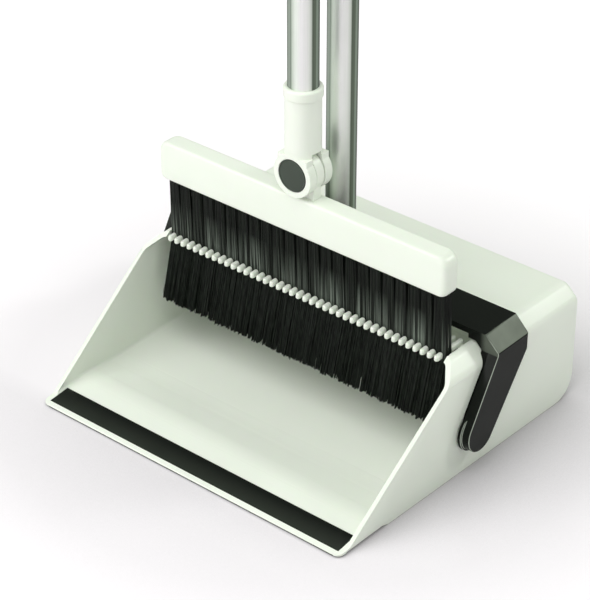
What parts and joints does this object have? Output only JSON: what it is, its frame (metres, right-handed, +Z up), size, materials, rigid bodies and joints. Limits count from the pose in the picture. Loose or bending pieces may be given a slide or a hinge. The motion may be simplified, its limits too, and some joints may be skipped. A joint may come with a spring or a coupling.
{
  "type": "upright dustpan and brush",
  "caption": "Long-handled hopper dustpan with a hinged bail, a comb that cleans the bristles, and a broom with a swivelling head stored upright in the comb.",
  "frame": {"origin": "centre of the base on the floor", "axes": "+Z up, -Y towards the pan's lip, +Y towards the hopper, X along the lip"},
  "size_m": [0.306, 0.262, 0.886],
  "materials": {
    "white_plastic": "satin moulded plastic, white with a faint green tint",
    "charcoal_plastic": "satin charcoal moulded plastic",
    "soft_rubber": "dark grey-green soft rubber",
    "brushed_tube": "brushed stainless tube",
    "fastener_steel": "plated steel fasteners",
    "bristle_nylon": "black flagged nylon bristles"
  },
  "bodies": {
    "dustpan": {"pan_body": "white_plastic", "cleaning_comb": "white_plastic", "lip_blade": "soft_rubber", "floor_wiper": "soft_rubber"},
    "handle": {"bail": "charcoal_plastic", "pivot_screws": "fastener_steel", "pivot_washers": "fastener_steel", "pole_collar": "charcoal_plastic", "pole_screw": "fastener_steel", "dustpan_lower_tube": "brushed_tube", "dustpan_coupler": "charcoal_plastic", "dustpan_upper_tube": "brushed_tube", "dustpan_grip": "white_plastic", "dustpan_hang_cap": "charcoal_plastic"},
    "brush_head": {"head_block": "white_plastic", "bristle_base": "bristle_nylon", "bristle_tufts": "bristle_nylon", "swivel_tongue": "white_plastic"},
    "broom_pole": {"swivel_socket": "white_plastic", "socket_collar": "white_plastic", "swivel_bolt": "fastener_steel", "swivel_nut": "fastener_steel", "swivel_washers": "charcoal_plastic", "swivel_front_cap": "charcoal_plastic", "swivel_rear_cap": "charcoal_plastic", "broom_lower_tube": "brushed_tube", "broom_coupler": "charcoal_plastic", "broom_upper_tube": "brushed_tube", "broom_grip": "white_plastic", "broom_hang_cap": "charcoal_plastic"}
  },
  "joints": [
    {"name": "handle_tilt", "type": "hinge", "parent": "dustpan", "child": "handle", "pos_m": [0, 0.008, 0.0335], "axis": [1, 0, 0], "range_deg": [0, 70]},
    {"name": "broom_lift", "type": "slide", "parent": "handle", "child": "brush_head", "axis": [0, 0, 1], "range_m": [0, 0.15]},
    {"name": "broom_swivel", "type": "hinge", "parent": "brush_head", "child": "broom_pole", "pos_m": [0, -0.0026, 0.1914], "axis": [0, 1, 0], "range_deg": [-90, 90]}
  ]
}
